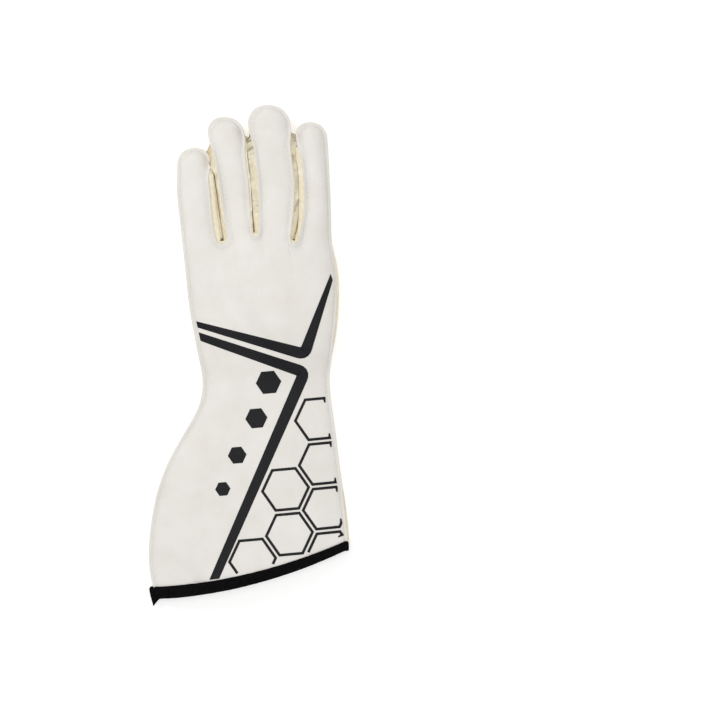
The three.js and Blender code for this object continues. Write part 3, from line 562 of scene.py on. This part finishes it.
def cloth_like(
    name, light, dark, rows, mottle, roughness, bump, sheen, seam=0.0, slit_shade=None, gloss=0.25
):
    """A matt cloth: two close colours mixed by mottling, over the knit's relief. Seam is how
    much painted shade dims its cut edges and the grooves beside its seams, the slit colour a
    painted shade that it takes low down between its lips, and gloss the strength of its mirror light."""
    material, nodes, links, shader = new_material(name)
    place = nodes.new("ShaderNodeTexCoord")
    knit = nodes.new("ShaderNodeGroup")
    knit.node_tree = KNIT
    knit.inputs["Rows"].default_value = rows
    knit.inputs["Mottle"].default_value = mottle
    links.new(place.outputs["Object"], knit.inputs["Vector"])
    ramp = nodes.new("ShaderNodeMapRange")
    ramp.inputs["From Min"].default_value = 0.3
    ramp.inputs["From Max"].default_value = 0.7
    links.new(knit.outputs["Mottling"], ramp.inputs["Value"])
    mix = nodes.new("ShaderNodeMix")
    mix.data_type = "RGBA"
    mix.inputs["A"].default_value = dark
    mix.inputs["B"].default_value = light
    links.new(ramp.outputs["Result"], mix.inputs["Factor"])
    colour = mix.outputs["Result"]
    # Painted shade: low down between the lips the colour turns to a browner beige, for the shade in the
    # narrow slit
    if slit_shade:
        height = nodes.new("ShaderNodeSeparateXYZ")
        links.new(place.outputs["Object"], height.inputs[0])
        slit_shade_fade = nodes.new("ShaderNodeMapRange")
        slit_shade_fade.interpolation_type = "SMOOTHSTEP"
        slit_shade_fade.inputs["From Min"].default_value = SLIT_SHADE_LOW
        slit_shade_fade.inputs["From Max"].default_value = SLIT_SHADE_HIGH
        links.new(height.outputs["Z"], slit_shade_fade.inputs["Value"])
        slit_shade_mix = nodes.new("ShaderNodeMix")
        slit_shade_mix.data_type = "RGBA"
        slit_shade_mix.inputs["A"].default_value = slit_shade
        links.new(slit_shade_fade.outputs["Result"], slit_shade_mix.inputs["Factor"])
        links.new(colour, slit_shade_mix.inputs["B"])
        colour = slit_shade_mix.outputs["Result"]
    relief = nodes.new("ShaderNodeBump")
    relief.inputs["Strength"].default_value = bump
    relief.inputs["Distance"].default_value = 0.25 * MM
    links.new(knit.outputs["Height"], relief.inputs["Height"])
    links.new(relief.outputs["Normal"], shader.inputs["Normal"])
    # Painted shade: the seam profile scales the colour down at the cut edges and in the grooves beside
    # the seams
    if seam:
        profile = nodes.new("ShaderNodeGroup")
        profile.node_tree = SEAM
        groove = nodes.new("ShaderNodeBump")
        groove.inputs["Strength"].default_value = 0.7
        groove.inputs["Distance"].default_value = 0.6 * MM
        links.new(profile.outputs["Profile"], groove.inputs["Height"])
        links.new(groove.outputs["Normal"], relief.inputs["Normal"])
        shade = nodes.new("ShaderNodeMapRange")
        shade.inputs["To Min"].default_value = 1.0 - seam
        links.new(profile.outputs["Profile"], shade.inputs["Value"])
        groove_shade_colour = nodes.new("ShaderNodeVectorMath")
        groove_shade_colour.operation = "SCALE"
        links.new(colour, groove_shade_colour.inputs[0])
        links.new(shade.outputs["Result"], groove_shade_colour.inputs["Scale"])
        links.new(groove_shade_colour.outputs["Vector"], shader.inputs["Base Color"])
    else:
        links.new(colour, shader.inputs["Base Color"])
    shader.inputs["Roughness"].default_value = roughness
    shader.inputs["Specular IOR Level"].default_value = gloss
    shader.inputs["Sheen Weight"].default_value = sheen
    shader.inputs["Sheen Roughness"].default_value = 0.5
    return material


# Its cut edges and seam grooves take a light painted shade
white_cloth = cloth_like(
    "white_knit_cloth", CLOTH_WHITE, CLOTH_SHADE,
    rows=420.0, mottle=45.0, roughness=0.88, bump=0.35, sheen=0.15, seam=0.14,
)
white_thread = cloth_like(
    "white_thread", THREAD_WHITE, CLOTH_WHITE,
    rows=900.0, mottle=300.0, roughness=0.6, bump=0.2, sheen=0.1,
)
cream_suede = cloth_like(
    "cream_suede", SUEDE_CREAM, SUEDE_DARK,
    rows=700.0, mottle=260.0, roughness=0.92, bump=0.5, sheen=0.25,
)
beige_gusset = cloth_like(
    "beige_gusset_cloth", GUSSET_CREAM, GUSSET_BEIGE,
    rows=500.0, mottle=240.0, roughness=0.92, bump=0.5, sheen=0.2, slit_shade=GUSSET_SLIT_SHADE,
)
black_tape = cloth_like(
    "black_ribbed_tape", TAPE_GREY, TAPE_BLACK,
    rows=330.0, mottle=300.0, roughness=0.8, bump=0.8, sheen=0.0, gloss=0.05,
)
black_film = cloth_like(
    "black_print_film", FILM_BLACK, FILM_FLECK,
    rows=420.0, mottle=900.0, roughness=0.55, bump=0.3, sheen=0.0,
)


# Pieces

def surface_of(thing):
    """Tree of a mesh object's faces, for rays straight down."""
    bm = bmesh.new()
    bm.from_mesh(thing.data)
    tree = BVHTree.FromBMesh(bm)
    bm.free()
    return tree


def cloth_piece(node, material, slot, wrinkle, pucker, sewn_to=()):
    """A sewn piece: the CAD wall made fine, drawn up to its neighbours, then softened."""
    fine = subdivided(quads(node), SUBDIVISIONS)
    seam = measure_seam(fine, node)
    if sewn_to:
        press_together(fine, [surface_of(other) for other in sewn_to])
    if node in GUSSETS:
        close_slit(fine, GUSSETS[node])
        spread_lips(fine)
    if node == "back_panel":
        inner = [v for v in fine.verts if v[seam] > SMOOTH_FROM]
        for _ in range(SMOOTH_ROUNDS):
            bmesh.ops.smooth_vert(
                fine, verts=inner, factor=0.5, use_axis_x=True, use_axis_y=True, use_axis_z=True
            )
        press_folds(fine, seam)
        shift_lips(fine, seam, -LIP_IN)
    if node == "palm_panel":
        shift_lips(fine, seam, LIP_PAST)
    soften(fine, wrinkle, pucker)
    if node == "back_panel":
        stitches(fine, seam, FLANGE / MM, white_thread)
    return piece(node + "_cloth", fine, material, slot, node)


def height_at(tree, x, y):
    """Height of the top face at a place in plan, or None off the piece."""
    hit = tree.ray_cast(Vector((x, y, ABOVE_ALL)), Vector((0, 0, -1)))[0]
    return hit.z if hit else None


def film_piece(node, cad_cloth, cloth):
    """Printed film laid on the fine cloth where the CAD film lies."""
    bm = welded(node)
    layer = bm.verts.layers.int.new("top")
    for v in bm.verts:
        under = height_at(cad_cloth, v.co.x, v.co.y)
        v[layer] = int(under is None or v.co.z - under > CAD_FILM_MIDDLE)
    for _ in range(FILM_ROUNDS):
        long_edges = [
            e for e in bm.edges
            if e.calc_length() > FILM_STEP and e.verts[0][layer] == e.verts[1][layer]
        ]
        if not long_edges:
            break
        bmesh.ops.subdivide_edges(bm, edges=long_edges, cuts=1, use_grid_fill=True)
    for v in bm.verts:
        z = height_at(cloth, v.co.x, v.co.y)
        if z is None:
            continue
        v.co.z = z + (FILM_RISE if v[layer] else -FILM_SINK)
    piece(node + "_film", bm, black_film, "film", node)


back = cloth_piece("back_panel", white_cloth, "cloth", 0.35 * MM, 0.08 * MM)
gussets = [
    cloth_piece(node, beige_gusset, "gusset", 0.10 * MM, 0.25 * MM, [back]) for node in GUSSETS
]
cloth_piece("palm_panel", cream_suede, "suede", 0.15 * MM, 0.08 * MM, [back, *gussets])
thumb_top = cloth_piece("thumb_inner", cream_suede, "suede", 0.1 * MM, 0.05 * MM)
cloth_piece("thumb_outer", white_cloth, "cloth", 0.1 * MM, 0.05 * MM, [thumb_top])
for hem in ("binding_back", "binding_palm"):
    cloth_piece(hem, black_tape, "tape", 0.0, 0.12 * MM)

cad_cloth = surface_of(NODES["back_panel"])
fine_cloth = surface_of(back)
for node in FILM_NODES:
    film_piece(node, cad_cloth, fine_cloth)


# Floor, light and camera

def stage_floor():
    """A plain pale floor under the glove."""
    bm = bmesh.new()
    bmesh.ops.create_grid(bm, x_segments=1, y_segments=1, size=3.0)
    material, _, _, shader = new_material("pale_floor")
    shader.inputs["Base Color"].default_value = FLOOR_WHITE
    shader.inputs["Roughness"].default_value = 0.9
    shader.inputs["Emission Color"].default_value = (1.0, 1.0, 1.0, 1.0)
    shader.inputs["Emission Strength"].default_value = 0.4
    floor = object_of("floor", bm)
    floor.data.materials.append(material)
    floor.location.z = -FLOOR_DROP


def area_light(name, place, size, power):
    """A soft square light aimed at the glove."""
    data = bpy.data.lights.new(name, "AREA")
    data.shape = "SQUARE"
    data.size = size
    data.energy = power
    light = bpy.data.objects.new(name, data)
    light.location = place
    light.rotation_euler = (-Vector(place)).to_track_quat("-Z", "Y").to_euler()
    bpy.context.scene.collection.objects.link(light)


def photo_camera():
    """Looks straight down and frames what the photo frames."""
    data = bpy.data.cameras.new("camera")
    data.sensor_width = 36.0
    data.lens = data.sensor_width * (CAMERA_HEIGHT - PHOTO_PLANE) / (2 * PHOTO_MIDDLE * PIXEL)
    camera = bpy.data.objects.new("camera", data)
    camera.location = (*PHOTO_CENTRE, CAMERA_HEIGHT)
    bpy.context.scene.collection.objects.link(camera)
    bpy.context.scene.camera = camera


stage_floor()
for light in LIGHTS:
    area_light(**light)
world = bpy.data.worlds.new("studio")
world.use_nodes = True
world.node_tree.nodes["Background"].inputs["Color"].default_value = (1, 1, 1, 1)
world.node_tree.nodes["Background"].inputs["Strength"].default_value = WORLD_STRENGTH
bpy.context.scene.world = world
bpy.context.scene.view_settings.view_transform = "Standard"
photo_camera()
